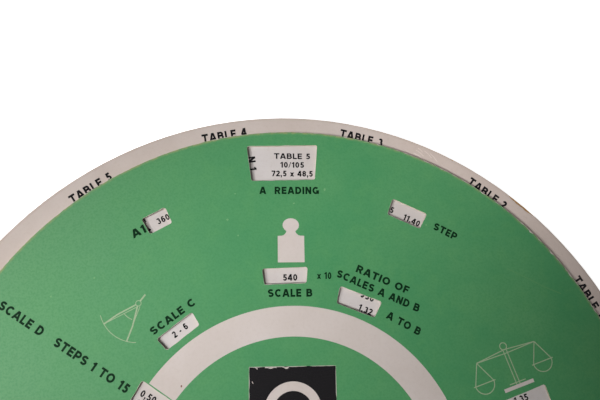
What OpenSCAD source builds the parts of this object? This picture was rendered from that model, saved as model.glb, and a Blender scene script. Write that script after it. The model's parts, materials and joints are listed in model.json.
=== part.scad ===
// Wheel chart: a printed card cover with cut windows, turning on an eyelet
// over a larger data disc whose rim stands out all round.
// Millimetres. The eyelet's axis is Z, the data disc's back face is Z = 0,
// and +Y points at the chart's top window.

/* [Front cover] */
// Diameter of the cover
cover_d = 240; // [200:1:300]
// Thickness of the cover's card
cover_t = 0.7; // [0.4:0.05:1.5]
// Radius of the windows' corners
corner_r = 0.7; // [0.2:0.1:1.2]

/* [Data disc] */
// Width of the rim that shows past the cover, before the runout
rim_w = 8.2; // [4:0.1:16]
// Thickness of the board between the two paper liners
core_t = 0.9; // [0.5:0.05:2]
// Thickness of each paper liner
liner_t = 0.15; // [0.08:0.01:0.3]
// Sideways distance from the punched hole to the disc's centre
runout_x = -1.1; // [-2:0.1:2]
// Distance from the punched hole to the disc's centre, towards the top
runout_y = -2.4; // [-3:0.1:3]

/* [Pivot] */
// Diameter of the hole through the eyelet
bore_d = 4; // [2.5:0.1:6]
// Wall thickness of the eyelet's barrel
barrel_wall = 0.35; // [0.25:0.05:0.6]
// How far the eyelet's flange reaches past the barrel
flange_w = 2.45; // [1.5:0.05:4]
// Height of the flange's crown over the cover
flange_h = 0.5; // [0.3:0.05:0.8]
// How far the clinched end reaches past the barrel
clinch_w = 1.85; // [1.2:0.05:3]
// Depth of the clinched end
clinch_h = 0.4; // [0.3:0.05:0.8]
// Depth of the clinch's roll that is flattened away
clinch_flat = 0.12; // [0.05:0.01:0.2]
// Number of splits in the clinched end
clinch_splits = 6; // [4:1:8]
// Width of each split
split_w = 0.3; // [0.2:0.05:0.5]
// How far the clinch's washer reaches past the barrel
washer_w = 3.2; // [2:0.1:6]
// Thickness of the clinch's washer
washer_t = 0.25; // [0.15:0.05:0.5]
// How far the slip washer reaches past the barrel
slip_w = 9.6; // [5:0.1:16]
// Thickness of the slip washer between the two discs
slip_t = 0.2; // [0.1:0.05:0.4]

/* [Clearances] */
// Radial clearance of the turning disc on the barrel
turn_gap = 0.1; // [0.05:0.01:0.1]
// Radial clearance of the fixed pieces on the barrel
seat_gap = 0.05; // [0.02:0.01:0.1]
// Play over and under the turning disc
end_play = 0.05; // [0.02:0.01:0.15]

/* [Window rows] */
// Card left between the rim row's windows and the cover's edge
rim_row_inset = 5.3; // [3:0.1:8]
// Height of the rim row's windows
rim_row_h = 12.95; // [6:0.05:16]
// Card between the outer row's windows and the cover's edge
outer_row_inset = 18.45; // [16:0.05:22]
// Height of the outer row's windows
outer_row_h = 6.05; // [4:0.05:7]
// Card between the spoke row's windows and the cover's edge
spoke_row_inset = 29.4; // [26:0.1:32]
// Length of the spoke row's windows
spoke_row_h = 18; // [10:0.1:22]
// Distance from the pivot to the middle row's windows
middle_row_r = 64.8; // [62:0.1:68]
// Height of the middle row's windows
middle_row_h = 5.4; // [4:0.1:7]
// Distance from the pivot to the inner row's windows
inner_row_r = 59.6; // [57:0.1:62]
// Distance from the pivot to the lower half's word window
low_word_row_r = 76; // [74:0.1:78]
// Distance from the pivot to the lower half's number window
low_number_row_r = 82.5; // [81:0.1:84]
// Height of these number windows
number_row_h = 5.85; // [4:0.05:7]
// Height of these word windows
word_row_h = 4.9; // [3:0.05:6]
// Distance from the pivot to the hub row's windows
hub_row_r = 42; // [36:0.1:46]
// Length of the hub row's windows
hub_row_h = 17.3; // [10:0.1:20]

/* [Hidden] */
$fn = 96;

// Depth by which a cut runs past the faces it opens
CUT = 1;
// Straight steps in one rounded window corner
CORNER_STEPS = 5;

cover_r = cover_d / 2;
disc_r = cover_r + rim_w;
bore_r = bore_d / 2;
barrel_r = bore_r + barrel_wall;

// Heights of the stack, from the data disc's back face upwards
core_z = liner_t;
face_z = core_z + core_t;
slip_z = face_z + liner_t + end_play;
cover_z = slip_z + slip_t;
cover_top = cover_z + cover_t;

// Heights below the data disc's back face
washer_z = -end_play - washer_t;
clinch_z = washer_z - clinch_h;

// Each row is the near edge's distance from the pivot, and the height
RIM_ROW = [cover_r - rim_row_inset - rim_row_h, rim_row_h];
OUTER_ROW = [cover_r - outer_row_inset - outer_row_h, outer_row_h];
SPOKE_ROW = [cover_r - spoke_row_inset - spoke_row_h, spoke_row_h];
MIDDLE_ROW = [middle_row_r, middle_row_h];
NUMBER_ROW = [inner_row_r, number_row_h];
WORD_ROW = [inner_row_r, word_row_h];
LOW_NUMBER_ROW = [low_number_row_r, number_row_h];
LOW_WORD_ROW = [low_word_row_r, word_row_h];
HUB_ROW = [hub_row_r, hub_row_h];

// Each window is its row, the direction of its middle and the angle it spans
WINDOWS = [
    [RIM_ROW, 90, 12.7],
    [RIM_ROW, 270, 12.7],
    [OUTER_ROW, 116.7, 5],
    [OUTER_ROW, 63.6, 7.5],
    [OUTER_ROW, 243, 4.8],
    [OUTER_ROW, 297, 4.8],
    [SPOKE_ROW, 14.9, 5.9],
    [SPOKE_ROW, 195, 5.9],
    [SPOKE_ROW, 345, 5.9],
    [MIDDLE_ROW, 90.45, 12.7],
    [MIDDLE_ROW, 270, 12.7],
    [NUMBER_ROW, 67.15, 13.2],
    [LOW_NUMBER_ROW, 309, 6.6],
    [WORD_ROW, 126.1, 12.6],
    [LOW_WORD_ROW, 237, 6.8],
    [HUB_ROW, 149, 10],
    [HUB_ROW, 211, 10]
];

function unit(a) = [cos(a), sin(a)];

// Corners of a window, anticlockwise, with sides that run to the pivot
function window_corners(row, angle, span) =
    let (
        along = unit(angle),
        across = unit(angle + 90),
        near = row[0],
        far = row[0] + row[1],
        spread = tan(span / 2)
    )
    [
        along * near - across * near * spread,
        along * far - across * far * spread,
        along * far + across * far * spread,
        along * near + across * near * spread
    ];

function direction(from, to) = (to - from) / norm(to - from);

// Points of one rounded corner between the corners before and after it
function corner_arc(before, at, after, r) =
    let (
        back = direction(at, before),
        on = direction(at, after),
        half = acos(back * on) / 2,
        middle = direction([0, 0], back + on),
        centre = at + middle * r / sin(half),
        facing = atan2(-middle[1], -middle[0]),
        sweep = 90 - half
    )
    [for (i = [0:CORNER_STEPS]) centre + r * unit(facing + sweep * (2 * i / CORNER_STEPS - 1))];

function rounded(corners, r) =
    let (n = len(corners))
    [for (i = [0:n - 1]) each corner_arc(corners[(i + n - 1) % n], corners[i], corners[(i + 1) % n], r)];

module window(row, angle, span) {
    translate([0, 0, cover_z - CUT])
        linear_extrude(cover_t + 2 * CUT)
            polygon(rounded(window_corners(row, angle, span), corner_r));
}

// A flat ring round the pivot's axis
module ring(outer_r, hole_r, z, t) {
    difference() {
        translate([0, 0, z]) cylinder(r = outer_r, h = t);
        translate([0, 0, z - CUT]) cylinder(r = hole_r, h = t + 2 * CUT);
    }
}

// One layer of the data disc, off its hole by the runout
module disc_layer(z, t) {
    difference() {
        translate([runout_x, runout_y, z]) cylinder(r = disc_r, h = t);
        translate([0, 0, z - CUT]) cylinder(r = barrel_r + turn_gap, h = t + 2 * CUT);
    }
}

// Half outline of a rolled lip: the cap of a circle that stands on the line
// from the bore to the lip's edge, cut flat at height h
module lip_outline(reach, crown, h) {
    half = (reach + barrel_wall) / 2;
    roll_r = (half * half + crown * crown) / (2 * crown);
    intersection() {
        translate([bore_r + half, crown - roll_r]) circle(r = roll_r);
        translate([bore_r, 0]) square([2 * half, h]);
    }
}

module front_cover() {
    color("mediumseagreen")
        difference() {
            ring(cover_r, barrel_r + seat_gap, cover_z, cover_t);
            for (w = WINDOWS) window(w[0], w[1], w[2]);
        }
}

module data_disc_face() {
    color("antiquewhite") disc_layer(face_z, liner_t);
}

module data_disc_core() {
    color("rosybrown") disc_layer(core_z, core_t);
}

module data_disc_back() {
    color("linen") disc_layer(0, liner_t);
}

module slip_washer() {
    color("ivory") ring(barrel_r + slip_w, barrel_r + seat_gap, slip_z, slip_t);
}

module eyelet() {
    color("darkgoldenrod")
        difference() {
            union() {
                ring(barrel_r, bore_r, washer_z, cover_top - washer_z);
                translate([0, 0, cover_top]) rotate_extrude() lip_outline(flange_w, flange_h, flange_h);
                translate([0, 0, washer_z])
                    mirror([0, 0, 1])
                        rotate_extrude() lip_outline(clinch_w, clinch_h + clinch_flat, clinch_h);
            }
            for (i = [0:clinch_splits - 1])
                rotate([0, 0, i * 360 / clinch_splits])
                    translate([barrel_r, -split_w / 2, clinch_z - CUT])
                        cube([clinch_w + CUT, split_w, clinch_h + CUT]);
        }
}

module eyelet_washer() {
    color("silver") ring(barrel_r + washer_w, barrel_r + seat_gap, washer_z, washer_t);
}

front_cover();
data_disc_face();
data_disc_core();
data_disc_back();
slip_washer();
eyelet();
eyelet_washer();
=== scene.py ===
import json
import math
import bmesh
import bpy
from collections import namedtuple
from mathutils import Matrix, Vector, noise
from mathutils.geometry import delaunay_2d_cdt

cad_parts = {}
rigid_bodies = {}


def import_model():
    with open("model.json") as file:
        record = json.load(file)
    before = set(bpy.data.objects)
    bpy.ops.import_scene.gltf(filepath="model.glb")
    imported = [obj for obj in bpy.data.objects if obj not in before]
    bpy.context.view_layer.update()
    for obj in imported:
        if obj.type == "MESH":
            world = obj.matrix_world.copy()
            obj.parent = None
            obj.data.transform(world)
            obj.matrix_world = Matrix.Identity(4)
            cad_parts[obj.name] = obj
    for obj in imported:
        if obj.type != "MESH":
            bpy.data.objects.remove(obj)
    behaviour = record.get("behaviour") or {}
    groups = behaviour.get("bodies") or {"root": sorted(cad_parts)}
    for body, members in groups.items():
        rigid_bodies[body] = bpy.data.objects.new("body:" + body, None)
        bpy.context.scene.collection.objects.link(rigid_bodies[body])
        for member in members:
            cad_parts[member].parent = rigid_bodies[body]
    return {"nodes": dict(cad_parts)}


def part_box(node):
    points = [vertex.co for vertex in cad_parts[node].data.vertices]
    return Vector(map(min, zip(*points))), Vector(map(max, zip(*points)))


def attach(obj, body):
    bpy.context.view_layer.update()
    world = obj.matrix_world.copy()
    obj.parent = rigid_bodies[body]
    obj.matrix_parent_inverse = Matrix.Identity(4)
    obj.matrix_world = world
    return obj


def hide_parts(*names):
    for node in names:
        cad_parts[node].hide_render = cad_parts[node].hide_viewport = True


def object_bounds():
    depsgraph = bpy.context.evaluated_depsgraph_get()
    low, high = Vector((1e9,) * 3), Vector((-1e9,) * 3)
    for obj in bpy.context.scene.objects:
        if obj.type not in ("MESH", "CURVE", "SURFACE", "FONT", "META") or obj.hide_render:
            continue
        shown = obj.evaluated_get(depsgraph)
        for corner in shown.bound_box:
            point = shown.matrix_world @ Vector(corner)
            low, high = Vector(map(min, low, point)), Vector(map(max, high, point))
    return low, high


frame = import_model()
CAD_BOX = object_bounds()

# Flat work below is in millimetres and degrees, and becomes metres when a mesh is made
MM = 0.001
# Points of the frame's meshes that lie closer than this are one point, in metres
MERGE = 1e-6
# Points of a flat cut that lie closer than this are one point, in the cut's own unit
SNAP = 1e-5
# Longest sides of the outlines that are worn: cuts and spots, the cover's rim, the liner's rim
WORN_STEP = 0.6
COVER_RIM_STEP = 0.8
LINER_RIM_STEP = 0.5
# Degrees between the points of an oval
OVAL_STEP = 18
# The pivot is the origin of the flat work
PIVOT = Vector((0, 0))

# Sizes taken from the frame
COVER_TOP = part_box("front_cover")[1].z
COVER_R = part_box("front_cover")[1].x / MM
LINER_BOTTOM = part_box("data_disc_face")[0].z
LINER_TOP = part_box("data_disc_face")[1].z
FLOOR_Z = CAD_BOX[0][2]

# Thickness of one layer of printing ink, and the height of what is printed over the green, in metres
INK = 0.02 * MM
OVER_GREEN = COVER_TOP + INK

# The print sits slightly turned against the die-cut windows
PRINT_TURN = -1.4

# Unprinted ring round the hub, whose middle lies slightly off the pivot
RING_CENTRE = Vector((0.16, -0.18))
RING_INNER_R = 47.2
RING_OUTER_R = 57.4
# Green line left round the hub windows where they cross the ring
HUB_BORDER = 0.45
HUB_WINDOW_ANGLES = (149, 211)
# The green stops under the eyelet's flange
PIVOT_CLEAR_R = 4.6

# Emblem block between the hub and the ring
EMBLEM_HALF = 14.45
EMBLEM_TOP = 37.4

# Data disc: stations of figures all round, one per pitch
STATIONS = 15
PITCH = 360 / STATIONS
# The figures were pasted up by hand, a little in or out of line
PASTE_SHIFT = 1.3
PASTE_RATE = 5.05

# Capital heights of the type
LABEL_CAP = 2.7
SPOKE_LABEL_CAP = 3.05
SHORT_LABEL_CAP = 3.0
UNIT_CAP = 2.4
HEADING_CAP = 3.2
NOTE_CAP = 2.8
FIGURE_CAP = 2.25
SMALL_CAP = 2.15

# Pen widths of the type, and the spaces between words and between letters, in capital heights
BOLD_PEN = 0.242
PLAIN_PEN = 0.215
SPACE = 0.34
LABEL_TRACKING = 0.15
FIGURE_TRACKING = 0.13
HEADING_TRACKING = 0.16


def polar(radius, angle):
    """Point at a distance and a direction from the pivot."""
    turn = math.radians(angle)
    return Vector((radius * math.cos(turn), radius * math.sin(turn)))


def direction(point):
    """Direction of a point from the pivot, between -180 and 180."""
    return math.degrees(math.atan2(point.y, point.x))


def arc(centre, radius, start, end, steps):
    """Points along a circle's arc, both ends included."""
    return [centre + polar(radius, start + (end - start) * i / steps) for i in range(steps + 1)]


def circle(centre, radius, steps):
    return arc(centre, radius, 0, 360, steps)[:-1]


def turned(points, angle, centre=(0, 0)):
    """Points turned about the pivot and then moved."""
    spin = Matrix.Rotation(math.radians(angle), 2)
    return [spin @ Vector(p) + Vector(centre) for p in points]


def printed(points):
    """Points of the print's own layout, where the print really lies."""
    return turned(points, PRINT_TURN)


def flat_outlines(node):
    """Outlines of a flat CAD node's top face as closed lists of points, the widest first."""
    mesh = bmesh.new()
    mesh.from_mesh(frame["nodes"][node].data)
    bmesh.ops.remove_doubles(mesh, verts=mesh.verts, dist=MERGE)
    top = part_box(node)[1].z
    on_top = {f for f in mesh.faces if f.normal.z > 0.9 and f.calc_center_median().z > top - MERGE}
    beside = {}
    for edge in mesh.edges:
        if len(on_top.intersection(edge.link_faces)) == 1:
            one, other = edge.verts
            beside.setdefault(one, []).append(other)
            beside.setdefault(other, []).append(one)
    outlines = []
    while beside:
        at = next(iter(beside))
        loop = []
        while at is not None:
            loop.append(at.co.xy / MM)
            onward = [v for v in beside.pop(at) if v in beside]
            at = onward[0] if onward else None
        outlines.append(loop)
    mesh.free()
    return sorted(outlines, key=lambda points: -max(p.x for p in points) + min(p.x for p in points))


def signed_area(outline):
    pairs = zip(outline, outline[1:] + outline[:1])
    return sum(a.x * b.y - b.x * a.y for a, b in pairs) / 2


def resampled(outline, step):
    """The same outline with points no further apart than the step."""
    points = []
    for here, there in zip(outline, outline[1:] + outline[:1]):
        count = max(1, math.ceil((there - here).length / step))
        points.extend(here.lerp(there, i / count) for i in range(count))
    return points


def offset(outline, depth):
    """Outline moved outwards by depth(point) on each point's own normal."""
    sign = 1 if signed_area(outline) > 0 else -1
    moved = []
    for i, point in enumerate(outline):
        along = (outline[(i + 1) % len(outline)] - outline[i - 1]).normalized()
        moved.append(point + sign * depth(point) * Vector((along.y, -along.x)))
    return moved


def grown(outline, width):
    return offset(outline, lambda point: width)


def uneven(point, lump, seed):
    """Smooth random value from 0 to 1 over the sheet, with lumps of about the given size."""
    value = noise.noise(Vector((point.x / lump, point.y / lump, seed)))
    return min(1, max(0, 0.5 + value))


def worn(outline, least, most, lump, seed):
    """Outline resampled finely and moved outwards by an uneven amount."""
    fine = resampled(outline, WORN_STEP)
    return offset(fine, lambda point: least + (most - least) * uneven(point, lump, seed) ** 2)


class Area:
    """Flat region inside an odd number of its closed outlines."""

    def __init__(self, *outlines):
        self.outlines = outlines
        points = [p for outline in outlines for p in outline]
        self.low = Vector((min(p.x for p in points), min(p.y for p in points)))
        self.high = Vector((max(p.x for p in points), max(p.y for p in points)))

    def holds(self, point):
        x, y = point
        if not (self.low.x <= x <= self.high.x and self.low.y <= y <= self.high.y):
            return False
        odd = False
        for outline in self.outlines:
            before = outline[-1]
            for here in outline:
                if (here.y > y) != (before.y > y):
                    if x < here.x + (before.x - here.x) * (y - here.y) / (before.y - here.y):
                        odd = not odd
                before = here
        return odd


def pen_line(points, width):
    """Area of a drawn line of one width through the points."""
    points = [Vector(p) for p in points]
    left = []
    right = []
    for i, point in enumerate(points):
        before = points[max(i - 1, 0)]
        after = points[min(i + 1, len(points) - 1)]
        along = (after - before).normalized()
        side = Vector((-along.y, along.x)) * width / 2
        left.append(point + side)
        right.append(point - side)
    return Area(left + right[::-1])


def pen_circle(centre, radius, width):
    """Area of a drawn circle of one line width."""
    centre = Vector(centre)
    steps = 24
    return Area(circle(centre, radius + width / 2, steps), circle(centre, radius - width / 2, steps))


def oval(x, y, wide, high, start, end):
    """Points along an arc of an ellipse, from its middle, half width and half height."""
    steps = max(3, round(abs(end - start) / OVAL_STEP))
    return [Vector((x + wide * p.x, y + high * p.y)) for p in arc(PIVOT, 1, start, end, steps)]


def flat_mesh(name, areas, kept, bottom, thickness, unit):
    """Closed flat mesh over every patch between the areas' outlines that kept(point) accepts."""
    points = []
    edges = []
    for area in areas:
        for outline in area.outlines:
            first = len(points)
            count = len(outline)
            points.extend(outline)
            edges.extend((first + i, first + (i + 1) % count) for i in range(count))
    corners, _, patches, *_ = delaunay_2d_cdt(points, edges, [], 0, SNAP, False)
    triangles = []
    for a, b, c in patches:
        if kept((corners[a] + corners[b] + corners[c]) / 3):
            left_turn = (corners[b] - corners[a]).cross(corners[c] - corners[a]) > 0
            triangles.append((a, b, c) if left_turn else (a, c, b))
    used = sorted({i for triangle in triangles for i in triangle})
    place = {i: n for n, i in enumerate(used)}
    count = len(used)
    heights = (bottom, bottom + thickness)
    verts = [(corners[i].x * unit, corners[i].y * unit, z) for z in heights for i in used]
    sides = {(t[i], t[(i + 1) % 3]) for t in triangles for i in range(3)}
    faces = [tuple(place[i] + count for i in t) for t in triangles]
    faces += [tuple(place[i] for i in reversed(t)) for t in triangles]
    for a, b in sorted(sides):
        if (b, a) not in sides:
            faces.append((place[a], place[b], place[b] + count, place[a] + count))
    mesh = bpy.data.meshes.new(name)
    mesh.from_pydata(verts, [], faces)
    return mesh


def sheet(name, areas, kept, bottom, thickness, material):
    """Piece of flat sheet or ink, cut along the areas' outlines."""
    mesh = flat_mesh(name, areas, kept, bottom, thickness, MM)
    mesh.materials.append(material)
    return place_piece(name, mesh)


def inside_any(areas):
    return lambda point: any(area.holds(point) for area in areas)


def ink_layer(name, areas, bottom, ink):
    """Piece with one layer of ink over every area."""
    return sheet(name, areas, inside_any(areas), bottom, INK, ink)


def place_piece(name, mesh):
    piece = bpy.data.objects.new(name, mesh)
    bpy.context.scene.collection.objects.link(piece)
    return piece


# Shader and geometry trees

def add(tree, kind, inputs=None, **settings):
    """Outputs of a new node; each input is a value or the socket that feeds it."""
    made = tree.nodes.new(kind)
    for name, value in settings.items():
        setattr(made, name, value)
    for name, value in (inputs or {}).items():
        if isinstance(value, bpy.types.NodeSocket):
            tree.links.new(value, made.inputs[name])
        else:
            made.inputs[name].default_value = value
    return made.outputs


def srgb(red, green, blue):
    """Linear colour of a tone given as 0 to 255 screen values."""
    tones = [c / 255 for c in (red, green, blue)]
    return tuple(c / 12.92 if c <= 0.04045 else ((c + 0.055) / 1.055) ** 2.4 for c in tones) + (1.0,)


# Sockets of a mix node that take and give colours
MIX_AMOUNT = 0
MIX_ONE = 6
MIX_OTHER = 7
MIX_RESULT = 2


class Finish:
    """Material in the making; its methods add nodes and give back the socket with their result."""

    def __init__(self, name, gloss, metal=0.0):
        self.material = bpy.data.materials.new(name)
        self.material.use_nodes = True
        self.tree = self.material.node_tree
        self.surface = self.tree.nodes["Principled BSDF"]
        self.surface.inputs["Specular IOR Level"].default_value = gloss
        self.surface.inputs["Metallic"].default_value = metal
        self.where = self.add("ShaderNodeTexCoord")["Object"]

    def add(self, kind, inputs=None, **settings):
        return add(self.tree, kind, inputs, **settings)

    def grain(self, scale, detail=4.0, rough=0.55, stretch=None):
        """Noise value over the surface, with about scale lumps to the metre."""
        where = self.where
        if stretch:
            where = self.add("ShaderNodeMapping", {"Vector": where, "Scale": stretch})["Vector"]
        inputs = {"Vector": where, "Scale": scale, "Detail": detail, "Roughness": rough}
        return self.add("ShaderNodeTexNoise", inputs)["Fac"]

    def ramp(self, value, low, high, start=0.0, end=1.0):
        """Value stretched from the range low to high onto the range start to end."""
        inputs = {"Value": value, "From Min": low, "From Max": high, "To Min": start, "To Max": end}
        return self.add("ShaderNodeMapRange", inputs, interpolation_type="SMOOTHSTEP")["Result"]

    def maths(self, operation, one, other=0.0):
        return self.add("ShaderNodeMath", {0: one, 1: other}, operation=operation)["Value"]

    def mixed(self, amount, one, other):
        """Colour between two colours."""
        inputs = {MIX_AMOUNT: amount, MIX_ONE: one, MIX_OTHER: other}
        return self.add("ShaderNodeMix", inputs, data_type="RGBA")[MIX_RESULT]

    def tinted(self, colour, tone, pattern, low, high, most=1.0):
        """Colour with a tone over it where the pattern rises from low to high, up to the share most."""
        return self.mixed(self.ramp(pattern, low, high, 0.0, most), colour, tone)

    def speckled(self, colour, tone, scale, size, share, most):
        """Colour with scattered specks of a tone; size is in cells, share is how many cells have one."""
        cells = self.add("ShaderNodeTexVoronoi", {"Vector": self.where, "Scale": scale})
        dot = self.ramp(cells["Distance"], size * 0.6, size, 1.0, 0.0)
        lot = self.add("ShaderNodeSeparateColor", {"Color": cells["Color"]})["Red"]
        amount = self.maths("MULTIPLY", dot, self.maths("LESS_THAN", lot, share))
        return self.mixed(self.maths("MULTIPLY", amount, most), colour, tone)

    def across(self):
        """Distance of the point to the right of the pivot, in metres."""
        return self.add("ShaderNodeSeparateXYZ", {"Vector": self.where})["X"]

    def reach(self, centre=(0.0, 0.0)):
        """Distance of the point from a vertical axis, in metres."""
        away = (-centre[0], -centre[1], 0.0)
        inputs = {"Vector": self.where, "Location": away, "Scale": (1.0, 1.0, 0.0)}
        moved = self.add("ShaderNodeMapping", inputs)["Vector"]
        return self.add("ShaderNodeVectorMath", {0: moved}, operation="LENGTH")["Value"]

    def relief(self, height, strength, depth):
        """Give the surface a fine unevenness, with its depth in metres."""
        bump = self.add("ShaderNodeBump", {"Height": height, "Strength": strength, "Distance": depth})
        self.tree.links.new(bump["Normal"], self.surface.inputs["Normal"])

    def done(self, colour, roughness):
        """The material, with its colour and roughness fed."""
        self.tree.links.new(colour, self.surface.inputs["Base Color"])
        self.tree.links.new(roughness, self.surface.inputs["Roughness"])
        return self.material


def green_ink():
    """Printed green: cloudy and flecked, with a painted sheen that pales it towards the left, and rubbed
    at the rim, most on the left.
    """
    ink = Finish("green_ink", 0.08)
    cover_r = COVER_R * MM
    cloud = ink.grain(28.0, 6.0, 0.65)
    colour = ink.tinted(srgb(77, 147, 97), srgb(92, 155, 103), cloud, 0.3, 0.7)
    colour = ink.tinted(colour, srgb(96, 158, 100), ink.grain(190.0, 3.0, 0.6), 0.45, 0.75, 0.3)
    # Painted sheen: the green is mixed towards a paler tone on the left, where the lamps' haze falls
    across = ink.maths("ADD", ink.across(), ink.ramp(cloud, 0.3, 0.7, -15 * MM, 15 * MM))
    colour = ink.tinted(colour, srgb(114, 163, 119), across, 0.0, -cover_r, 0.75)
    colour = ink.tinted(colour, srgb(62, 134, 84), ink.grain(1500.0, 2.0), 0.35, 0.75, 0.35)
    colour = ink.speckled(colour, srgb(160, 190, 140), 80.0, 0.036, 0.35, 0.6)
    rubbed = ink.ramp(ink.reach(), cover_r - 1.2 * MM, cover_r - 0.1 * MM, 0.0, 0.9)
    rubbed = ink.maths("MULTIPLY", rubbed, ink.ramp(ink.grain(420.0), 0.4, 0.62, 0.35, 1.0))
    rubbed = ink.maths("MULTIPLY", rubbed, ink.ramp(across, 0.1 * cover_r, 0.5 * cover_r, 1.0, 0.55))
    colour = ink.mixed(rubbed, colour, srgb(156, 160, 112))
    ink.relief(ink.grain(1500.0, 3.0), 0.12, 0.06 * MM)
    return ink.done(colour, ink.ramp(cloud, 0.3, 0.7, 0.42, 0.52))


def mark_ink(name, light, dark):
    """Ink of type and lines, or a stain: dense, with a slightly open grain."""
    ink = Finish(name, 0.08)
    open_grain = ink.ramp(ink.grain(3200.0, 2.0), 0.45, 0.75)
    return ink.done(ink.mixed(open_grain, dark, light), ink.ramp(open_grain, 0.0, 1.0, 0.5, 0.65))


def aged_paper(name, clean, exposed, pale, soil, open_r, rim_r, centre=(0.0, 0.0)):
    """Cream paper: clean where it is covered, exposed where it lies open, soiled at its rim.

    The open part shades into the pale tone on the right, a painted light that makes it paler where more
    light falls on it.
    """
    paper = Finish(name, 0.15)
    # Painted light: the open paper is paler towards the right
    bare = paper.tinted(exposed, pale, paper.across(), 0.15 * open_r, 0.5 * open_r)
    colour = paper.tinted(clean, bare, paper.reach(), open_r - 3 * MM, open_r + MM)
    cloud = paper.grain(26.0, 6.0, 0.65)
    colour = paper.tinted(colour, soil, cloud, 0.35, 0.75, 0.28)
    colour = paper.tinted(colour, soil, paper.grain(900.0, 4.0, 0.65), 0.5, 0.8, 0.2)
    colour = paper.speckled(colour, srgb(128, 88, 66), 48.0, 0.05, 0.1, 0.4)
    soiled = paper.ramp(paper.reach(centre), rim_r - 1.2 * MM, rim_r, 0.0, 0.45)
    soiled = paper.maths("MULTIPLY", soiled, paper.ramp(paper.grain(120.0), 0.3, 0.7, 0.3, 1.0))
    colour = paper.mixed(soiled, colour, soil)
    paper.relief(paper.grain(1100.0, 4.0, 0.6), 0.2, 0.08 * MM)
    return paper.done(colour, paper.ramp(cloud, 0.3, 0.7, 0.72, 0.86))


def card_stock():
    """Cover card: cream on its faces, a darker cream on the cut edges."""
    card = Finish("card_stock", 0.2)
    cloud = card.grain(24.0, 6.0, 0.6)
    colour = card.tinted(srgb(217, 206, 201), srgb(209, 197, 190), cloud, 0.3, 0.7)
    colour = card.tinted(colour, srgb(186, 170, 157), card.grain(900.0, 4.0, 0.65), 0.45, 0.8, 0.2)
    colour = card.speckled(colour, srgb(120, 78, 60), 55.0, 0.05, 0.1, 0.5)
    normal = card.add("ShaderNodeNewGeometry")["Normal"]
    upright = card.maths("ABSOLUTE", card.add("ShaderNodeSeparateXYZ", {"Vector": normal})["Z"])
    layers = card.grain(260.0, 3.0, 0.5, (1.0, 1.0, 30.0))
    edge = card.mixed(layers, srgb(212, 203, 182), srgb(194, 182, 154))
    colour = card.mixed(card.ramp(upright, 0.3, 0.8, 1.0, 0.0), colour, edge)
    card.relief(card.grain(1200.0, 4.0, 0.6), 0.25, 0.08 * MM)
    return card.done(colour, card.ramp(cloud, 0.3, 0.7, 0.72, 0.85))


def raw_board():
    """Brown board: coarse fibres in flat layers."""
    board = Finish("raw_board", 0.15)
    layers = board.grain(300.0, 5.0, 0.6, (1.0, 1.0, 18.0))
    colour = board.tinted(srgb(198, 158, 110), srgb(166, 124, 80), layers, 0.3, 0.7)
    fibres = board.grain(1500.0, 3.0, 0.6)
    colour = board.tinted(colour, srgb(214, 182, 138), fibres, 0.55, 0.8, 0.5)
    board.relief(layers, 0.5, 0.2 * MM)
    return board.done(colour, board.ramp(fibres, 0.3, 0.7, 0.8, 0.95))


def worn_metal(name, bright, tarnish, brush):
    """Satin metal with fine scratches and a cloudy tarnish."""
    metal = Finish(name, 0.5, 1.0)
    colour = metal.tinted(bright, tarnish, metal.grain(420.0, 5.0, 0.6), 0.35, 0.7)
    lines = metal.grain(1800.0, 3.0, 0.6, brush)
    metal.relief(lines, 0.15, 0.03 * MM)
    return metal.done(colour, metal.ramp(lines, 0.3, 0.7, 0.28, 0.5))


# Type: a plain grotesque drawn with a pen of one width, set glyph by glyph with Geometry Nodes

Line = namedtuple("Line", "text place cap turn width", defaults=(1.0,))


def upended(shapes, width):
    """Shapes of a glyph turned half round within its own width."""
    def half_turn(outline):
        return [Vector((width - p.x, 1 - p.y)) for p in outline]

    return [Area(*map(half_turn, shape.outlines)) for shape in shapes]


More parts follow.
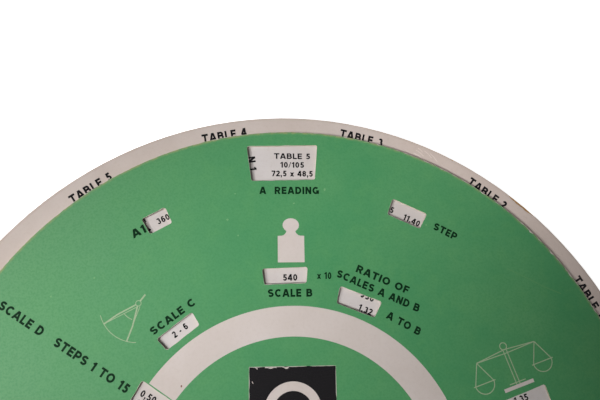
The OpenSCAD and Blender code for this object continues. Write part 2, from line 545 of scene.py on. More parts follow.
def glyph_shapes(pen):
    """Width and shapes of each character, 1 high for capitals and drawn from x = 0."""
    half = pen / 2
    top = 1 - half
    low = half
    waist = 0.53

    def stroke(*points, thick=pen):
        return pen_line(points, thick)

    def stem(x):
        return stroke((x, 0), (x, 1))

    def bar(start, end, y):
        return stroke((start, y), (end, y))

    def bow(x, y, wide, high, start, end):
        return stroke(*oval(x, y, wide, high, start, end))

    def loop(x, y, wide, high):
        outer = oval(x, y, wide + half, high + half, 0, 360)[:-1]
        inner = oval(x, y, wide - half, high - half, 0, 360)[:-1]
        return Area(outer, inner)

    def lobe(x, above, below):
        """Round side between two heights, led back to the stem at both ends."""
        radius = (above - below) / 2
        return stroke((half, above), *oval(x, above - radius, radius, radius, 90, -90), (half, below))

    upper = (top + 0.5) / 2
    lower = (low + 0.5) / 2
    six = [loop(0.3, 0.33, 0.3 - half, 0.33 - half),
           stroke(*oval(0.31, 0.5, 0.31 - half, top - 0.5, 42, 180), (half, 0.33))]
    return {
        "A": (0.86, [stroke((0.07, -0.1), (0.43, 1.1)), stroke((0.79, -0.1), (0.43, 1.1)),
                     bar(0.2, 0.66, 0.29)]),
        "B": (0.75, [stem(half), lobe(0.42, top, waist), lobe(0.44, waist, low)]),
        "C": (0.82, [bow(0.45, 0.5, 0.45 - half, top - 0.5, 45, 315)]),
        "D": (0.8, [stem(half),
                    stroke((half, top), *oval(0.36, 0.5, 0.44 - half, top - 0.5, 90, -90),
                           (half, low))]),
        "E": (0.64, [stem(half), bar(0, 0.64, top), bar(0, 0.6, 0.51), bar(0, 0.64, low)]),
        "F": (0.6, [stem(half), bar(0, 0.62, top), bar(0, 0.57, 0.49)]),
        "G": (0.88, [bow(0.45, 0.5, 0.45 - half, top - 0.5, 45, 322),
                     stroke((0.87 - half, 0.04), (0.87 - half, 0.52)), bar(0.5, 0.87, 0.52 - half)]),
        "H": (0.78, [stem(half), stem(0.78 - half), bar(half, 0.78 - half, 0.51)]),
        "I": (pen, [stem(half)]),
        "L": (0.58, [stem(half), bar(0, 0.6, low)]),
        "N": (0.78, [stem(half), stem(0.78 - half),
                     stroke((half - 0.06, 1.1), (0.78 - half + 0.06, -0.1))]),
        "O": (0.92, [loop(0.46, 0.5, 0.46 - half, top - 0.5)]),
        "P": (0.72, [stem(half), lobe(0.4, top, 0.42)]),
        "R": (0.78, [stem(half), lobe(0.42, top, 0.46), stroke((0.38, 0.52), (0.69, -0.1))]),
        "S": (0.74, [stroke(*oval(0.37, upper, 0.37 - half, upper - 0.5, 28, 235),
                            *oval(0.37, lower, 0.37 - half, 0.5 - lower, 55, -152))]),
        "T": (0.74, [stem(0.37), bar(-0.02, 0.76, top)]),
        "0": (0.6, [loop(0.3, 0.5, 0.3 - half, top - 0.5)]),
        "1": (0.42, [stem(0.4 - half), stroke((0.4 - half, 0.94), (0.02, 0.72), thick=0.8 * pen)]),
        "2": (0.6, [stroke(*oval(0.3, 0.7, 0.3 - half, top - 0.7, 168, -35), (half, low)),
                    bar(0, 0.6, low)]),
        "3": (0.6, [bow(0.29, (top + waist) / 2, 0.27 - half, (top - waist) / 2, 158, -90),
                    bow(0.3, (low + waist) / 2, 0.3 - half, (waist - low) / 2, 90, -158)]),
        "4": (0.64, [stem(0.46), bar(0, 0.64, 0.28), stroke((0.47, 1.1), (0.04, 0.24))]),
        "5": (0.6, [bar(0.1, 0.56, top), stroke((0.1 + half, top), (0.06 + half, 0.46)),
                    bow(0.29, 0.335, 0.31 - half, 0.335 - half, 128, -155)]),
        "6": (0.6, six),
        "7": (0.58, [bar(0, 0.58, top), stroke((0.53, top), (0.17, -0.1))]),
        "8": (0.6, [loop(0.3, (top + waist) / 2, 0.28 - half, (top - waist) / 2),
                    loop(0.3, (low + waist) / 2, 0.3 - half, (waist - low) / 2)]),
        "9": (0.6, upended(six, 0.6)),
        "/": (0.34, [stroke((-0.02, -0.1), (0.36, 1.1), thick=0.5 * pen)]),
        "-": (0.36, [bar(0.02, 0.34, 0.38)]),
        ".": (pen, [bar(0, pen, half)]),
        ",": (pen, [bar(0, pen, half), stroke((0.75 * pen, 0.02), (0.3 * pen, -0.22), thick=0.5 * pen)]),
        "x": (0.56, [stroke((0.02, -0.08), (0.54, 0.78)), stroke((0.54, -0.08), (0.02, 0.78))]),
    }


# Lowest and highest cut of the characters that don't stand on the line at capital height
CUTS = {",": (-0.25, 1), "x": (0, 0.7)}


def cut_glyphs(name, pen):
    """Type case: one closed mesh per character, capitals 1 high and 1 thick, with its widths."""
    case = bpy.data.collections.new(name)
    widths = {" ": SPACE}
    shapes = glyph_shapes(pen)
    for index, character in enumerate(shapes):
        widths[character], strokes = shapes[character]
        low, high = CUTS.get(character, (0, 1))
        body = Area([Vector(p) for p in ((-1, low), (2, low), (2, high), (-1, high))])
        inked = inside_any(strokes)
        mesh = flat_mesh(name, strokes + [body], lambda p: body.holds(p) and inked(p), 0, 1, 1)
        case.objects.link(bpy.data.objects.new(f"{name}_{index:03d}", mesh))
    return case, list(shapes), widths


def typesetting():
    """Geometry tree that sets a glyph of the type case on each point and inks it."""
    tree = bpy.data.node_groups.new("typesetting", "GeometryNodeTree")
    sockets = (("Points", "Geometry"), ("Type case", "Collection"), ("Ink", "Material"))
    keys = {}
    for name, kind in sockets:
        made = tree.interface.new_socket(name, in_out="INPUT", socket_type=f"NodeSocket{kind}")
        keys[name] = made.identifier
    tree.interface.new_socket("Type", in_out="OUTPUT", socket_type="NodeSocketGeometry")

    def attribute(name, kind):
        return add(tree, "GeometryNodeInputNamedAttribute", {"Name": name}, data_type=kind)["Attribute"]

    given = add(tree, "NodeGroupInput")
    glyphs = add(tree, "GeometryNodeCollectionInfo",
                 {"Collection": given["Type case"], "Separate Children": True, "Reset Children": True})
    turn = add(tree, "FunctionNodeEulerToRotation", {"Euler": attribute("turn", "FLOAT_VECTOR")})
    copies = add(tree, "GeometryNodeInstanceOnPoints", {
        "Points": given["Points"], "Instance": glyphs["Instances"], "Pick Instance": True,
        "Instance Index": attribute("glyph", "INT"), "Rotation": turn["Rotation"],
        "Scale": attribute("stretch", "FLOAT_VECTOR")})
    solid = add(tree, "GeometryNodeRealizeInstances", {"Geometry": copies["Instances"]})
    inked = add(tree, "GeometryNodeSetMaterial",
                {"Geometry": solid["Geometry"], "Material": given["Ink"]})
    add(tree, "NodeGroupOutput", {"Type": inked["Geometry"]})
    return tree, keys


def set_type(name, lines, type_case, tracking, bottom, ink):
    """One mesh piece with every line of type; a line is centred on its place at mid-capital height."""
    case, characters, widths = type_case
    spots = []
    glyphs = []
    turns = []
    stretches = []
    for line in lines:
        across = polar(1, line.turn)
        up = polar(1, line.turn + 90)
        gaps = [(widths[c] + tracking) * line.cap * line.width for c in line.text]
        at = -(sum(gaps) - tracking * line.cap * line.width) / 2
        for character, gap in zip(line.text, gaps):
            if character != " ":
                spot = Vector(line.place) + across * at - up * line.cap / 2
                spots.append((spot.x * MM, spot.y * MM, bottom))
                glyphs.append(characters.index(character))
                turns.extend((0, 0, math.radians(line.turn)))
                stretches.extend((line.cap * line.width * MM, line.cap * MM, INK))
            at += gap
    points = bpy.data.meshes.new(name)
    points.from_pydata(spots, [], [])
    points.attributes.new("glyph", "INT", "POINT").data.foreach_set("value", glyphs)
    points.attributes.new("turn", "FLOAT_VECTOR", "POINT").data.foreach_set("vector", turns)
    points.attributes.new("stretch", "FLOAT_VECTOR", "POINT").data.foreach_set("vector", stretches)
    setting = place_piece(name, points)
    composing = setting.modifiers.new("typesetting", "NODES")
    composing.node_group = TYPESETTING
    composing[TYPE_KEYS["Type case"]] = case
    composing[TYPE_KEYS["Ink"]] = ink
    evaluated = setting.evaluated_get(bpy.context.evaluated_depsgraph_get())
    mesh = bpy.data.meshes.new_from_object(evaluated)
    bpy.data.objects.remove(setting)
    return place_piece(name, mesh)


def clear_case(type_case):
    case = type_case[0]
    for glyph in list(case.objects):
        bpy.data.objects.remove(glyph)
    bpy.data.collections.remove(case)


# Camera, floor and light

WHITE = (1.0, 1.0, 1.0, 1.0)


def photo_camera():
    """Camera at the photograph's place: 36 mm lens, leaning over the chart's upper half."""
    place = Vector((-10.68, 42.65, 206.6)) * MM + Vector((0, 0, COVER_TOP))
    lean = Matrix.Identity(3)
    for angle, axis in ((-14.16, "X"), (3.95, "Y"), (2.35, "Z")):
        lean = lean @ Matrix.Rotation(math.radians(angle), 3, axis)
    lens = bpy.data.cameras.new("photo_camera")
    lens.lens = 36
    lens.sensor_width = 36
    lens.clip_start = 0.01
    camera = place_piece("photo_camera", lens)
    camera.matrix_world = Matrix.Translation(place) @ lean.transposed().to_4x4()
    bpy.context.scene.camera = camera


def show_two_ways(tree, output, lit, seen):
    """Output one shader for the light's own paths, and another where it is looked at or mirrored."""
    path = add(tree, "ShaderNodeLightPath")
    straight = path["Is Camera Ray"]
    for ray in ("Is Glossy Ray", "Is Transmission Ray"):
        straight = add(tree, "ShaderNodeMath", {0: straight, 1: path[ray]}, operation="MAXIMUM")["Value"]
    choice = add(tree, "ShaderNodeMixShader", {0: straight, 1: lit, 2: seen})
    add(tree, output, {"Surface": choice["Shader"]})


def studio_floor():
    """Pale floor under the chart, white to the eye, with the chart's shadow kept."""
    half = 3.0
    mesh = bpy.data.meshes.new("floor")
    corners = [(x * half, y * half, FLOOR_Z) for x, y in ((-1, -1), (1, -1), (1, 1), (-1, 1))]
    mesh.from_pydata(corners, [], [(0, 1, 2, 3)])
    material = bpy.data.materials.new("studio_floor")
    material.use_nodes = True
    tree = material.node_tree
    tree.nodes.clear()
    matt = add(tree, "ShaderNodeBsdfDiffuse", {"Color": (0.7, 0.7, 0.7, 1.0)})["BSDF"]
    shine = add(tree, "ShaderNodeEmission", {"Color": WHITE, "Strength": 0.94})["Emission"]
    both = add(tree, "ShaderNodeAddShader", {0: matt, 1: shine})["Shader"]
    show_two_ways(tree, "ShaderNodeOutputMaterial", matt, both)
    mesh.materials.append(material)
    place_piece("floor", mesh)


def studio_world(fill):
    """Even soft fill for the object, plain white to the eye."""
    world = bpy.data.worlds.new("studio")
    world.use_nodes = True
    tree = world.node_tree
    tree.nodes.clear()
    soft = add(tree, "ShaderNodeBackground", {"Color": (1.0, 0.98, 0.96, 1.0), "Strength": fill})
    white = add(tree, "ShaderNodeBackground", {"Color": WHITE, "Strength": 1.0})
    show_two_ways(tree, "ShaderNodeOutputWorld", soft["Background"], white["Background"])
    bpy.context.scene.world = world


def soft_box(name, place, aim, size, power, spread, roll=0.0):
    """Oblong area lamp at a place, facing a point and rolled about that line."""
    lamp = bpy.data.lights.new(name, "AREA")
    lamp.shape = "RECTANGLE"
    lamp.size, lamp.size_y = size
    lamp.energy = power
    lamp.spread = math.radians(spread)
    box = place_piece(name, lamp)
    facing = (Vector(aim) - Vector(place)).to_track_quat("-Z", "Y").to_matrix().to_4x4()
    box.matrix_world = Matrix.Translation(place) @ facing @ Matrix.Rotation(math.radians(roll), 4, "Z")


bpy.context.scene.view_settings.view_transform = "Standard"
photo_camera()
studio_floor()
studio_world(fill=0.06)
soft_box("lower_light", place=(-0.479, -0.252, 0.576), aim=(-0.174, -0.113, 0.0), size=(0.316, 0.47),
         power=0.123, spread=15.5, roll=-16.3)
soft_box("upper_light", place=(-0.262, 0.165, 0.391), aim=(-0.027, 0.241, 0.0), size=(0.368, 0.368),
         power=0.096, spread=18.15)
soft_box("low_left_light", place=(-0.548, -0.349, 0.558), aim=(-0.106, -0.113, 0.0), size=(0.318, 0.307),
         power=0.235, spread=13.72, roll=-17.0)
soft_box("left_light", place=(-0.477, 0.063, 0.308), aim=(-0.011, 0.215, 0.0), size=(0.308, 0.308),
         power=0.258, spread=14.92)

# Finishes

DISC_CENTRE = tuple((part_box("data_disc_face")[0].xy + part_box("data_disc_face")[1].xy) / 2)
DISC_R = (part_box("data_disc_face")[1].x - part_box("data_disc_face")[0].x) / 2

GREEN = green_ink()
TYPE_ON_GREEN = mark_ink("black_over_green", srgb(9, 51, 27), srgb(2, 32, 13))
TYPE_ON_PAPER = mark_ink("black_on_paper", srgb(34, 31, 33), srgb(18, 17, 19))
PALE_LINES = mark_ink("pale_lines", srgb(180, 194, 162), srgb(160, 180, 146))
BROWNED = srgb(208, 195, 188)
SOIL = srgb(172, 152, 136)
LINER = aged_paper("liner_paper", clean=srgb(212, 205, 203), exposed=BROWNED, pale=srgb(218, 202, 193),
                   soil=SOIL, open_r=COVER_R * MM, rim_r=DISC_R, centre=DISC_CENTRE)
BACK = aged_paper("back_paper", clean=BROWNED, exposed=BROWNED, pale=BROWNED,
                  soil=SOIL, open_r=COVER_R * MM, rim_r=DISC_R, centre=DISC_CENTRE)
SLIP = aged_paper("slip_paper", clean=srgb(208, 198, 186), exposed=srgb(204, 192, 178),
                  pale=srgb(204, 192, 178), soil=srgb(170, 152, 128), open_r=10 * MM, rim_r=12 * MM)
CARD = card_stock()
BOARD = raw_board()
SCRATCHED = mark_ink("scratched_green", srgb(88, 149, 96), srgb(95, 155, 101))
FLAKED = mark_ink("flaked_green", srgb(104, 158, 106), srgb(120, 170, 120))
FOXED = mark_ink("foxed_card", srgb(108, 66, 52), srgb(130, 82, 64))
# Painted highlight: pale tone drawn along the ridges of the creases in the liner's rim
CREASE_HIGHLIGHT = mark_ink("crease_highlight", srgb(223, 208, 199), srgb(230, 215, 206))
BRASS = worn_metal("eyelet_brass", srgb(206, 176, 112), srgb(158, 122, 66), (1.0, 1.0, 0.2))
ZINC = worn_metal("washer_zinc", srgb(198, 198, 196), srgb(160, 160, 158), (0.2, 1.0, 1.0))

for node_name, coat in (("front_cover", CARD), ("data_disc_core", BOARD), ("data_disc_back", BACK),
                        ("slip_washer", SLIP), ("eyelet_washer", ZINC)):
    materials = frame["nodes"][node_name].data.materials
    materials.clear()
    materials.append(coat)

TYPESETTING, TYPE_KEYS = typesetting()
BOLD = cut_glyphs("bold_type", BOLD_PEN)
PLAIN = cut_glyphs("plain_type", PLAIN_PEN)


# Print on the cover

def weight_figure():
    """Pictogram of a weight: a block with an oval head on a waisted neck."""
    side = [(4.65, 72.1), (4.65, 81.45)]
    side += [(3.2, 81.5), (2.6, 81.7), (2.1, 82.1), (1.75, 82.6), (1.62, 83.0)]
    head = oval(0, 85.25, 2.9, 2.5, -56, 236)
    return Area(printed(side + head + [(-x, y) for x, y in reversed(side)]))


def hourglass_figure():
    """Pictogram of an hourglass, for the lower half."""
    half = [(4.4, -72.0), (4.4, -73.0), (0.5, -78.5), (4.4, -84.0), (4.4, -85.0)]
    return Area(printed(half + [(-x, y) for x, y in reversed(half)]))


def drawing(strokes, turn, place):
    """Areas of a line drawing's strokes, turned and moved to its place on the cover."""
    return [Area(*[turned(outline, turn, place) for outline in stroke.outlines]) for stroke in strokes]


def dividers(pen):
    """Line drawing of a pair of dividers and the arc that they scribe."""
    hinge_r = 0.9
    leg = 12.8
    strokes = [pen_circle(PIVOT, hinge_r, pen)]
    strokes.append(pen_line([(0, hinge_r), (0, 3.6)], 2.5 * pen))
    for tip in (-112, -68):
        start = polar(hinge_r, tip)
        knee = polar(7.6, tip + math.copysign(3, tip + 90))
        end = polar(leg, tip)
        strokes.append(pen_line([start, knee, end], 2.2 * pen))
        strokes.append(pen_line([start + polar(0.8, tip + 90), end], pen))
    strokes.append(pen_line(arc(PIVOT, leg, -126, -54, 24), pen))
    strokes.append(pen_line(arc(PIVOT, 5.6, -108, -72, 12), pen))
    return strokes


def balance(pen):
    """Line drawing of a beam balance, without its foot."""
    post = 0.6
    arm = 11.0
    beam_y = 12.2
    pan_y = 5.2
    pan_r = 3.4
    lip = 4.0
    strokes = [pen_line([(-3.0, 1.9), (3.0, 1.9)], pen)]
    strokes.extend(pen_line([(x, 1.2), (x, 13.2)], pen) for x in (-post, post))
    strokes.append(pen_circle((0, 14.3), 1.2, pen))
    strokes.extend(pen_line([(-arm, beam_y), (0, y), (arm, beam_y)], pen) for y in (13.2, 11.9))
    for side in (-arm, arm):
        strokes.extend(pen_line([(side, beam_y), (side + x, pan_y)], pen) for x in (-pan_r, pan_r))
        strokes.append(pen_line([(side - lip, pan_y), (side + lip, pan_y)], pen))
        strokes.append(pen_line(arc(Vector((side, pan_y)), pan_r, 180, 360, 20), pen))
    return strokes


def protractor(pen):
    """Line drawing of a protractor with its degree marks."""
    outer = 9.0
    strokes = [pen_line(arc(PIVOT, outer, 0, 180, 40), pen), pen_line(arc(PIVOT, 6.0, 0, 180, 32), pen)]
    strokes.append(pen_line([(-outer, 0), (outer, 0)], 2 * pen))
    strokes.extend(pen_line([polar(7.2, a), polar(outer, a)], pen) for a in range(15, 180, 15))
    return strokes


def set_square(pen):
    """Line drawing of a set square with its cut-out and edge marks."""
    outer = [(-9.0, -4.5), (9.0, -4.5), (-9.0, 8.0), (-9.0, -4.5), (-8.0, -4.5)]
    inner = [(-6.4, -2.2), (1.2, -2.2), (-6.4, 3.2), (-6.4, -2.2), (-5.8, -2.2)]
    strokes = [pen_line(outer, pen), pen_line(inner, pen)]
    strokes.extend(pen_line([(x, -4.5), (x, -3.5)], pen) for x in range(-7, 7, 2))
    return strokes


def emblem_corners():
    """Corners of the emblem's block, where the print really lies."""
    half = EMBLEM_HALF
    low = EMBLEM_TOP - 2 * half
    return printed([(-half, low), (half, low), (half, EMBLEM_TOP), (-half, EMBLEM_TOP)])


def turn_arrow():
    """Cream arrow that goes most of the way round a circle, on the emblem."""
    centre = Vector((0, EMBLEM_TOP - EMBLEM_HALF))
    start = -35
    end = 235
    outer = 9.6
    inner = 6.6
    barb = 2.2
    steps = 60
    corners = ((outer + barb, end), ((outer + inner) / 2, end + 32), (inner - barb, end))
    head = [centre + polar(radius, angle) for radius, angle in corners]
    band = arc(centre, outer, start, end, steps)
    return Area(printed(band + head + arc(centre, inner, end, start, steps)))


# Turn and place of the balance, whose foot is left in the card's cream
BALANCE_PLACE = (17, (77.6, 27.2))
BALANCE_FOOT = pen_line([(-5.5, 0.6), (5.5, 0.6)], 1.2)
# Pen widths of the line drawings, the last for those in the lower half
DIVIDERS_PEN = 0.22
BALANCE_PEN = 0.32
LOWER_PEN = 0.34
# Scuffs of the emblem, measured from the middle of its top edge
SCUFFS = (((-12.4, -0.2), (-11.6, -0.7)), ((-9.0, -0.1), (-7.4, -0.5), (-5.4, -0.2)),
          ((-3.6, -0.1), (-2.2, -0.6), (-1.2, -0.3)), ((-13.4, -4.6), (-13.1, -5.3)))
SCUFF_PEN = 0.3

cover_outlines = flat_outlines("front_cover")
cover_rim = cover_outlines[0]
window_cuts = [cut for cut in cover_outlines[1:] if min(p.length for p in cut) > PIVOT_CLEAR_R]


def nicked_rim(point):
    """Outward shift of the green's edge at the rim: worn back all round, most at the upper right."""
    most_handled = 45
    spread = 25
    handled = math.exp(-((direction(point) - most_handled) / spread) ** 2)
    rub = 0.02 + 0.06 * uneven(point, lump=5.0, seed=1.0)
    nick = (0.1 + 0.4 * handled) * uneven(point, lump=1.6, seed=3.0) ** 3
    return -(rub + nick)


def in_hub_row(cut):
    """Whether a window is one of the hub row, by the direction of its middle."""
    middle = direction(sum(cut, PIVOT)) % 360
    return any(abs(middle - angle) < 2 for angle in HUB_WINDOW_ANGLES)


def green_print():
    """Green of the cover's field and hub, with everything knocked out of it."""
    field = Area(offset(resampled(cover_rim, COVER_RIM_STEP), nicked_rim))
    windows = [Area(worn(cut, least=0.05, most=0.16, lump=3.0, seed=7.0)) for cut in window_cuts]
    borders = [Area(grown(cut, HUB_BORDER)) for cut in window_cuts if in_hub_row(cut)]
    ring = Area(circle(RING_CENTRE, RING_OUTER_R, 360), circle(RING_CENTRE, RING_INNER_R, 300))
    pivot = Area(circle(PIVOT, PIVOT_CLEAR_R, 64))
    block = Area(emblem_corners())
    foot = drawing([BALANCE_FOOT], *BALANCE_PLACE)
    left_out = windows + [pivot, block, weight_figure(), hourglass_figure()] + foot

    def kept(point):
        if not field.holds(point) or any(area.holds(point) for area in left_out):
            return False
        return not ring.holds(point) or any(border.holds(point) for border in borders)

    areas = [field, ring] + borders + left_out
    return sheet("cover_green_print", areas, kept, COVER_TOP, INK, GREEN)


def line_drawings():
    """Pale drawings of drawing tools and a balance on the green."""
    strokes = drawing(dividers(DIVIDERS_PEN), -38, (-50.0, 59.9))
    strokes += drawing(balance(BALANCE_PEN), *BALANCE_PLACE)
    strokes += drawing(protractor(LOWER_PEN), -15, polar(80, 337))
    strokes += drawing(set_square(LOWER_PEN), 15, polar(80, 184))
    return ink_layer("cover_line_drawings", strokes, OVER_GREEN, PALE_LINES)


def emblem_print():
    """Black block near the hub with a turn arrow left in the card's cream, scuffed near its top edge."""
    block = Area(worn(emblem_corners(), least=-0.2, most=0.0, lump=2.5, seed=5.0))
    bare = [turn_arrow()]
    for scuff in SCUFFS:
        stroke = pen_line(printed([(x, EMBLEM_TOP + y) for x, y in scuff]), SCUFF_PEN)
        bare.append(Area(worn(stroke.outlines[0], least=-0.1, most=0.3, lump=0.7, seed=4.0)))
    uninked = inside_any(bare)
    return sheet("hub_emblem", [block] + bare, lambda p: block.holds(p) and not uninked(p),
                 COVER_TOP, INK, TYPE_ON_PAPER)


# Scratches and flakes in the green, and marks on the paper, each where it lies

SCRATCHES = (((78.2, 67.5), (84.2, 64.4), (91.0, 60.6), (96.7, 58.0)), ((86.0, 22.0), (95.5, 16.5)),
             ((-88.0, -31.0), (-76.0, -38.0)), ((30.0, -92.0), (44.0, -88.5)))
SCRATCH_PEN = 0.3
# Place and radius of each spot
FLAKES = ((-20.0, 87.8, 0.5), (3.5, 93.1, 0.4), (-17.2, 97.1, 0.36), (-16.4, 82.0, 0.36),
          (14.7, 97.8, 0.5), (-64.8, 68.9, 0.45), (-78.7, 63.1, 0.4), (50.5, 84.0, 0.36),
          (-93.0, 20.0, 0.4), (64.0, -70.0, 0.4))
FOXING = ((-35.6, 32.7, 0.42), (12.0, -51.5, 0.35), (48.0, -20.0, 0.3))
# Ends of each crease: distance from the pivot and direction
CREASES = ((121.9, 64.6, 123.0, 66.2), (122.5, 63.2, 124.0, 64.8), (123.2, 65.0, 124.0, 66.0),
           (120.8, 64.7, 121.6, 66.4), (122.0, 62.0, 123.9, 63.7), (122.6, 227.0, 124.2, 229.0))
CREASE_PEN = 0.28
CREASE_BEND = 0.2


def blot(x, y, radius):
    """Small spot with an uneven outline."""
    spot = circle(Vector((x, y)), radius, 12)
    return Area(worn(spot, least=-0.4 * radius, most=0.2 * radius, lump=0.8 * radius, seed=x))


def cover_marks():
    """Scratches and flakes in the green, and foxing on the unprinted ring."""
    scratches = [pen_line(scratch, SCRATCH_PEN) for scratch in SCRATCHES]
    flakes = [blot(*flake) for flake in FLAKES]
    foxing = [blot(*spot) for spot in FOXING]
    return [ink_layer("cover_scratches", scratches, OVER_GREEN, SCRATCHED),
            ink_layer("cover_flakes", flakes, OVER_GREEN, FLAKED),
            ink_layer("ring_foxing", foxing, COVER_TOP, FOXED)]


def rim_creases():
    """Pale streaks painted along creases in the liner's rim, near two of its chips, as highlights on the
    creases' ridges.
    """
    areas = []
    for near, start, far, end in CREASES:
        bend = polar((near + far) / 2 + CREASE_BEND, (start + end) / 2)
        areas.append(pen_line([polar(near, start), bend, polar(far, end)], CREASE_PEN))
    return ink_layer("rim_creases", areas, LINER_TOP, CREASE_HIGHLIGHT)


def label(text, radius, angle, turn, cap=LABEL_CAP, width=1.0):
    """Line of type in the print's own layout, at a distance and a direction from the pivot."""
    return Line(text, polar(radius, angle + PRINT_TURN), cap, turn + PRINT_TURN, width)


# Text, distance from the pivot, direction and turn of each label, and its size and width if special
LABELS = (
    ("A  READING", 97.9, 90.2, 0),
    ("SCALE B", 61.6, 90.5, 0),
    ("A1", 98.4, 122.3, 28, SHORT_LABEL_CAP, 1.15),
    ("STEP", 99.6, 56.3, -28),
    ("RATIO OF", 73.2, 64.3, -24, LABEL_CAP, 1.12),
    ("SCALES A AND B", 68.9, 64.2, -24),
    ("A TO B", 63.7, 53.0, -29),
    ("SCALE C", 67.3, 126.4, 36.5, LABEL_CAP, 1.12),
    ("SCALE D   STEPS 1 TO 15", 87.3, 149, -33, SPOKE_LABEL_CAP),
    ("E  READING", 97.9, 270, 0),
    ("SCALE F", 61.6, 270, 0),
    ("E1", 98.4, 237.6, -27, SHORT_LABEL_CAP, 1.15),
    ("STEP", 99.6, 303.5, 27),
    ("RATIO OF", 73.5, 309, 39),
    ("SCALES E AND F", 77.8, 309, 39),
    ("E TO F", 86.0, 318.5, 48),
    ("SCALE G", 84.2, 237, -33),
    ("SCALE H   STEPS 1 TO 15", 87.3, 211, 31, SPOKE_LABEL_CAP),
)


def cover_labels():
    lines = [label(*entry) for entry in LABELS]
    return set_type("cover_labels", lines, BOLD, LABEL_TRACKING, OVER_GREEN, TYPE_ON_GREEN)


def unit_labels():
    lines = [label("x 10", 68.4, angle, turn, UNIT_CAP, 0.88) for angle, turn in ((80.4, -2), (280, 2))]
    return set_type("unit_labels", lines, PLAIN, FIGURE_TRACKING, OVER_GREEN, TYPE_ON_GREEN)


# Figures on the data disc

def at_stations(figures, radius, angle, turn, cap, width=1.0, across=0.0, paste_shift=0.0):
    """The same entry at every station, turned from its spoke; figures(k) is its text at station k."""
    lines = []
    for k in range(STATIONS):
        towards = angle + PITCH * k
        place = polar(radius - paste_shift * math.sin(PASTE_RATE * k), towards)
        place += polar(across, towards + turn + 90)
        lines.append(Line(figures(k), place, cap, towards + turn, width))
    return lines


def ring_of(figures, radius, angle, cap=FIGURE_CAP, width=1.0):
    """Entries upright in a window at the angle: heads outwards in the upper half, else inwards."""
    turn = 90 if 180 < angle < 360 else -90
    return at_stations(figures, radius, angle, turn, cap, width, paste_shift=PASTE_SHIFT)


def spokes_of(figures, radius, angle, across):
    """Entries along a spoke, moved sideways from it: outwards on the right, inwards on the left."""
    turn = 180 if 90 < angle < 270 else 0
    return at_stations(figures, radius, angle, turn, FIGURE_CAP, across=across)


def counted(first, step, places, mark=","):
    """Figures that rise by a step from station to station, with a decimal mark."""
    return lambda k: f"{first + step * k:.{places}f}".replace(".", mark)


def cycled(first, step, span):
    """Whole figures that rise by a step and start again within a span."""
    return lambda k: f"{first + (k * step) % span}"


def ranged(low, high):
    """Low figures, a dash and a whole figure that rises by one."""
    return lambda k: f"{low(k)} - {k + high}"


def rim_headings():
    """Heading of each station on the rim, slightly askew to its spoke."""
    lines = at_stations(lambda k: f"TABLE {k + 1}", 121.25, 27.9, -91.2, HEADING_CAP, 0.92)
    return set_type("rim_headings", lines, BOLD, HEADING_TRACKING, LINER_TOP, TYPE_ON_PAPER)


def rim_row_figures():
    """Three lines at every station for each of the two rim windows."""
    wide = counted(72.5, 2, 1)
    high = counted(48.5, 1, 1)
    lines = []
    for angle, first, last in ((88.15, 111.05, 104.45), (268.6, 105.0, 111.6)):
        middle = (first + last) / 2
        lines += ring_of(lambda k: f"TABLE {k + 5}", first, angle, SMALL_CAP, 1.15)
        lines += ring_of(lambda k: f"{k + 10}/{(k * 35) % 150 + 105}", middle, angle, SMALL_CAP, 1.1)
        lines += ring_of(lambda k: f"{wide(k)} x {high(k)}", last, angle, SMALL_CAP, 1.05)
    return lines


def spoke_notes():
    """Entries along the spokes, whose edges just show at the left of two windows."""
    lines = at_stations(lambda k: f"N {k % 9 + 1}", 109.05, 95.8, 180, NOTE_CAP)
    lines += at_stations(lambda k: f"E  {k + 12}", 98.4, 119.3, 180, FIGURE_CAP)
    return set_type("spoke_notes", lines, BOLD, LABEL_TRACKING, LINER_TOP, TYPE_ON_PAPER)


def data_figures():
    """Figures of each row of windows, as one piece a row."""
    rows = (
        ("outer_row_figures", ring_of, (
            (cycled(360, 35, 300), 98.4, 115.53),
            (counted(11.4, 0.35, 2, "."), 97.4, 62.03),
            (cycled(410, 55, 300), 98.4, 241.6),
            (counted(5.2, 0.45, 1, "."), 98.4, 295.6))),
        ("spoke_row_figures", spokes_of, (
            (counted(1.35, 0.04, 2), 81.3, 14.9, 2.6),
            (counted(0.85, 0.03, 2), 81.3, 14.9, -1.2),
            (counted(2.15, 0.06, 2), 81.6, 195, 1.9),
            (counted(1.75, 0.05, 2), 81.6, 195, -1.9),
            (counted(3.25, 0.05, 2), 81.6, 345, 1.9),
            (counted(2.95, 0.04, 2), 81.6, 345, -1.9))),
        ("middle_row_figures", ring_of, (
            (cycled(540, 85, 400), 67.0, 88.97, FIGURE_CAP, 1.06),
            (cycled(220, 65, 400), 67.4, 268.6))),
        ("inner_row_figures", ring_of, (
            (counted(1.32, 0.06, 2), 61.2, 64.03),
            (counted(2.44, 0.08, 2), 85.4, 309),
            (ranged(counted(2, 1, 0), 6), 62.2, 125.7, FIGURE_CAP, 0.9),
            (ranged(counted(3, 1, 0), 8), 78.3, 237))),
        ("hub_row_figures", spokes_of, (
            (ranged(counted(0.5, 0.25, 2), 2), 52.6, 149, 1.7),
            (ranged(counted(1.5, 0.35, 2), 4), 52.6, 149, -1.6),
            (ranged(counted(2.5, 0.15, 2), 5), 51.0, 211, 1.7),
            (ranged(counted(0.8, 0.45, 2), 3), 51.0, 211, -1.6))),
    )
    lines = {"rim_row_figures": rim_row_figures()}
    for name, setting, entries in rows:
        lines[name] = [line for entry in entries for line in setting(*entry)]
    return [set_type(name, row, PLAIN, FIGURE_TRACKING, LINER_TOP, TYPE_ON_PAPER)
            for name, row in lines.items()]


# Disc liner with its chipped rim

# Direction of a chip's middle from the disc's centre, half the angle it spans, and its depth
Chip = namedtuple("Chip", "angle half depth")
CHIPS = (Chip(46.6, 2.7, 0.75), Chip(59.9, 0.35, 0.5), Chip(152, 1.2, 0.5),
         Chip(231, 2.6, 0.8), Chip(318, 0.8, 0.6))


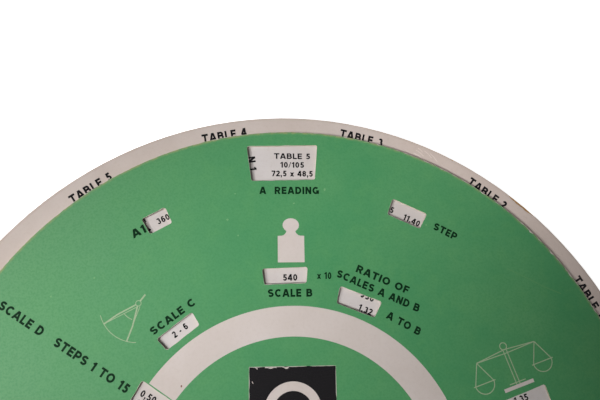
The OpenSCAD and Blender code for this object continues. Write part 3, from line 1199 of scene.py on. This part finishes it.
def chipped(point):
    """Outward shift of the liner's edge at the rim: slightly uneven, and broken back at the chips."""
    towards = direction(point - Vector(DISC_CENTRE) / MM) % 360
    depth = 0.015 * uneven(point, lump=2.0, seed=9.0)
    ragged = 0.8 + 0.4 * uneven(point, lump=1.4, seed=2.0)
    for chip in CHIPS:
        near = 1 - ((towards - chip.angle) / chip.half) ** 4
        depth = max(depth, chip.depth * near * ragged)
    return -depth


def disc_liner():
    rim, hole = flat_outlines("data_disc_face")
    paper = Area(offset(resampled(rim, LINER_RIM_STEP), chipped), hole)
    return sheet("disc_liner", [paper], paper.holds, LINER_BOTTOM, LINER_TOP - LINER_BOTTOM, LINER)


# Eyelet, with the frame's own radii

BORE_R = 2.0
BARREL_R = 2.35
FLANGE_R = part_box("eyelet")[1].x / MM
CLINCH_R = 4.2
# Depth of the clinch's roll that is flattened away
CLINCH_FLAT = 0.12
SPLITS = 6
# Half the angle of one split, and the number of the eyelet's sides
SPLIT_HALF = 2.6
AROUND = 180


def cap_arc(inner, outer, crown, steps):
    """Points of a circle's cap that stands on the line from the inner to the outer radius."""
    half = (outer - inner) / 2
    roll = (half * half + crown * crown) / (2 * crown)
    lean = math.degrees(math.asin(half / roll))
    return arc(Vector(((inner + outer) / 2, crown - roll)), roll, 90 + lean, 90 - lean, steps)


def pivot_eyelet():
    """Rolled eyelet: a domed flange on the cover, a barrel, and a split clinch on the washer."""
    seat = COVER_TOP / MM
    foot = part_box("eyelet_washer")[0].z / MM
    depth = (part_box("eyelet_washer")[0].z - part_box("eyelet")[0].z) / MM
    crown = (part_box("eyelet")[1].z - COVER_TOP) / MM
    profile = [(p.x, seat + p.y) for p in cap_arc(BORE_R, FLANGE_R, crown, 14)]
    profile += [(BARREL_R, seat), (BARREL_R, foot)]
    roll = reversed(cap_arc(BORE_R, CLINCH_R, depth + CLINCH_FLAT, 12))
    profile += [(p.x, foot - min(p.y, depth)) for p in roll]
    verts = []
    half_pitch = 180 / SPLITS
    for i in range(AROUND):
        angle = 360 * i / AROUND
        split = abs((angle + half_pitch) % (2 * half_pitch) - half_pitch) < SPLIT_HALF
        for radius, z in profile:
            if split and z < foot + MERGE / MM:
                radius = min(radius, BARREL_R)
            spot = polar(radius, angle)
            verts.append((spot.x * MM, spot.y * MM, z * MM))
    count = len(profile)
    faces = []
    for i in range(AROUND):
        for j in range(count):
            here, there = i * count, (i + 1) % AROUND * count
            on = (j + 1) % count
            faces.append((here + j, here + on, there + on, there + j))
    mesh = bpy.data.meshes.new("pivot_eyelet")
    mesh.from_pydata(verts, [], faces)
    shape = bmesh.new()
    shape.from_mesh(mesh)
    bmesh.ops.remove_doubles(shape, verts=shape.verts, dist=MERGE)
    bmesh.ops.recalc_face_normals(shape, faces=shape.faces)
    for face in shape.faces:
        face.smooth = True
    shape.to_mesh(mesh)
    shape.free()
    mesh.set_sharp_from_angle(angle=math.radians(35))
    mesh.materials.append(BRASS)
    return place_piece("pivot_eyelet", mesh)


cover_pieces = [green_print(), line_drawings(), emblem_print(), cover_labels(), unit_labels()]
for piece in cover_pieces + cover_marks():
    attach(piece, "cover")

disc_pieces = [rim_headings(), spoke_notes(), rim_creases()] + data_figures()
for piece in disc_pieces:
    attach(piece, "data_disc")

liner = disc_liner()
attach(liner, "data_disc")
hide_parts("data_disc_face")

eyelet = pivot_eyelet()
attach(eyelet, "cover")
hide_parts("eyelet")

for case in (BOLD, PLAIN):
    clear_case(case)
